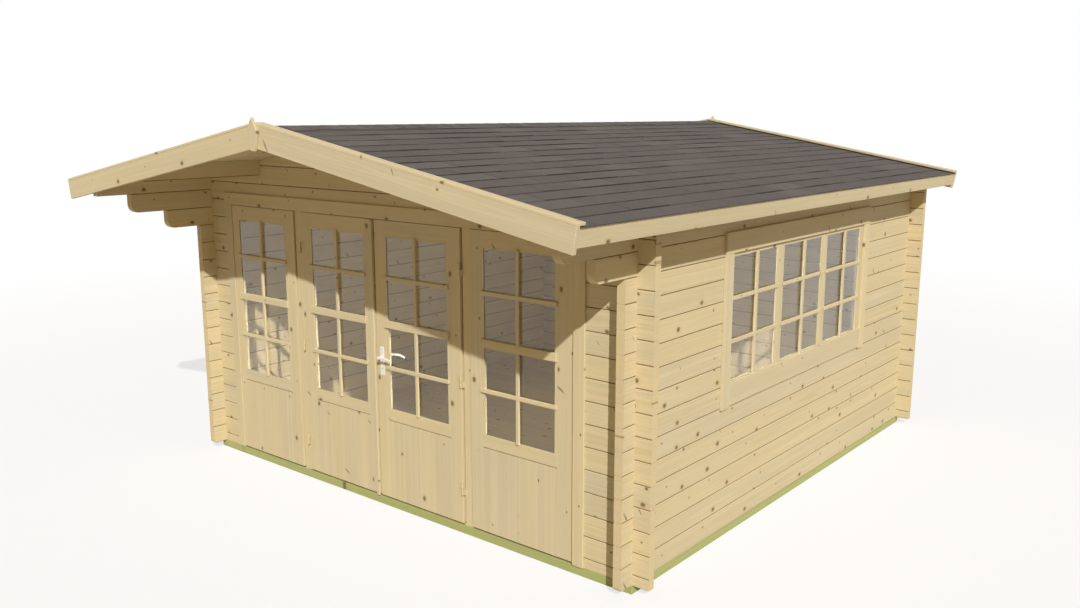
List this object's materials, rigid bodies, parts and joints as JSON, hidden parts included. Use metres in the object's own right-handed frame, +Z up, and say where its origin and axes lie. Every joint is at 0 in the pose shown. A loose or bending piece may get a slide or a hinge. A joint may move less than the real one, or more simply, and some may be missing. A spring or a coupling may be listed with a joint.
{
  "type": "log cabin",
  "caption": "Small garden log cabin with crossed log corners, glazed double doors, fixed sidelights, a side window and a low felted gable roof.",
  "frame": {"origin": "centre of the whole object's plan at ground level, under the foundation bearers", "axes": "+X to the right seen from the doors, +Y from the doors to the back wall, +Z up"},
  "size_m": [4.625, 5.197, 2.632],
  "materials": {
    "log_wood": "planed untreated spruce",
    "joinery_wood": "planed untreated spruce joinery",
    "board_wood": "untreated spruce boards",
    "treated_wood": "green pressure-treated timber",
    "shingle": "mineral-faced bitumen shingles",
    "pane": "clear window glass",
    "white_metal": "white coated handle",
    "hinge_metal": "zinc-plated steel"
  },
  "bodies": {
    "root": {"foundation_beams": "treated_wood", "floor": "board_wood", "front_wall_left": "log_wood", "front_wall_right": "log_wood", "front_gable": "log_wood", "rear_wall": "log_wood", "left_wall": "log_wood", "left_corbel_log_low": "log_wood", "left_corbel_log_mid": "log_wood", "left_eaves_log": "log_wood", "right_wall_lower": "log_wood", "right_wall_front": "log_wood", "right_wall_rear": "log_wood", "right_corbel_log_low": "log_wood", "right_corbel_log_mid": "log_wood", "right_eaves_log": "log_wood", "purlins": "board_wood", "roof_boards_left": "board_wood", "roof_boards_right": "board_wood", "shingles_left": "shingle", "shingles_right": "shingle", "barge_boards": "joinery_wood", "barge_caps": "joinery_wood", "eave_fascias": "joinery_wood", "finials": "joinery_wood", "door_frame": "joinery_wood", "door_casing": "joinery_wood", "door_hinge_posts": "hinge_metal", "sidelight_left": "joinery_wood", "sidelight_right": "joinery_wood", "sidelight_glass": "pane", "window_frame": "joinery_wood", "window_sashes": "joinery_wood", "window_glass": "pane", "window_casing": "joinery_wood"},
    "left_leaf": {"left_leaf": "joinery_wood", "left_leaf_glass": "pane", "left_leaf_hinges": "hinge_metal", "door_astragal": "joinery_wood"},
    "right_leaf": {"right_leaf": "joinery_wood", "right_leaf_glass": "pane", "right_leaf_hinges": "hinge_metal", "door_plates": "white_metal"},
    "lever": {"door_spindle": "white_metal", "door_levers": "white_metal"}
  },
  "joints": [
    {"name": "left_leaf_hinge", "type": "hinge", "parent": "root", "child": "left_leaf", "pos_m": [-0.86, -1.661, 1.02], "axis": [0, 0, -1], "range_deg": [0, 90]},
    {"name": "right_leaf_hinge", "type": "hinge", "parent": "root", "child": "right_leaf", "pos_m": [0.706, -1.661, 1.02], "axis": [0, 0, 1], "range_deg": [0, 90]},
    {"name": "lever_turn", "type": "hinge", "parent": "right_leaf", "child": "lever", "pos_m": [-0.027, -1.631, 1.053], "axis": [0, 1, 0], "range_deg": [0, 40], "stiffness_Nm_per_rad": 1.5, "springref_deg": -22.92}
  ]
}
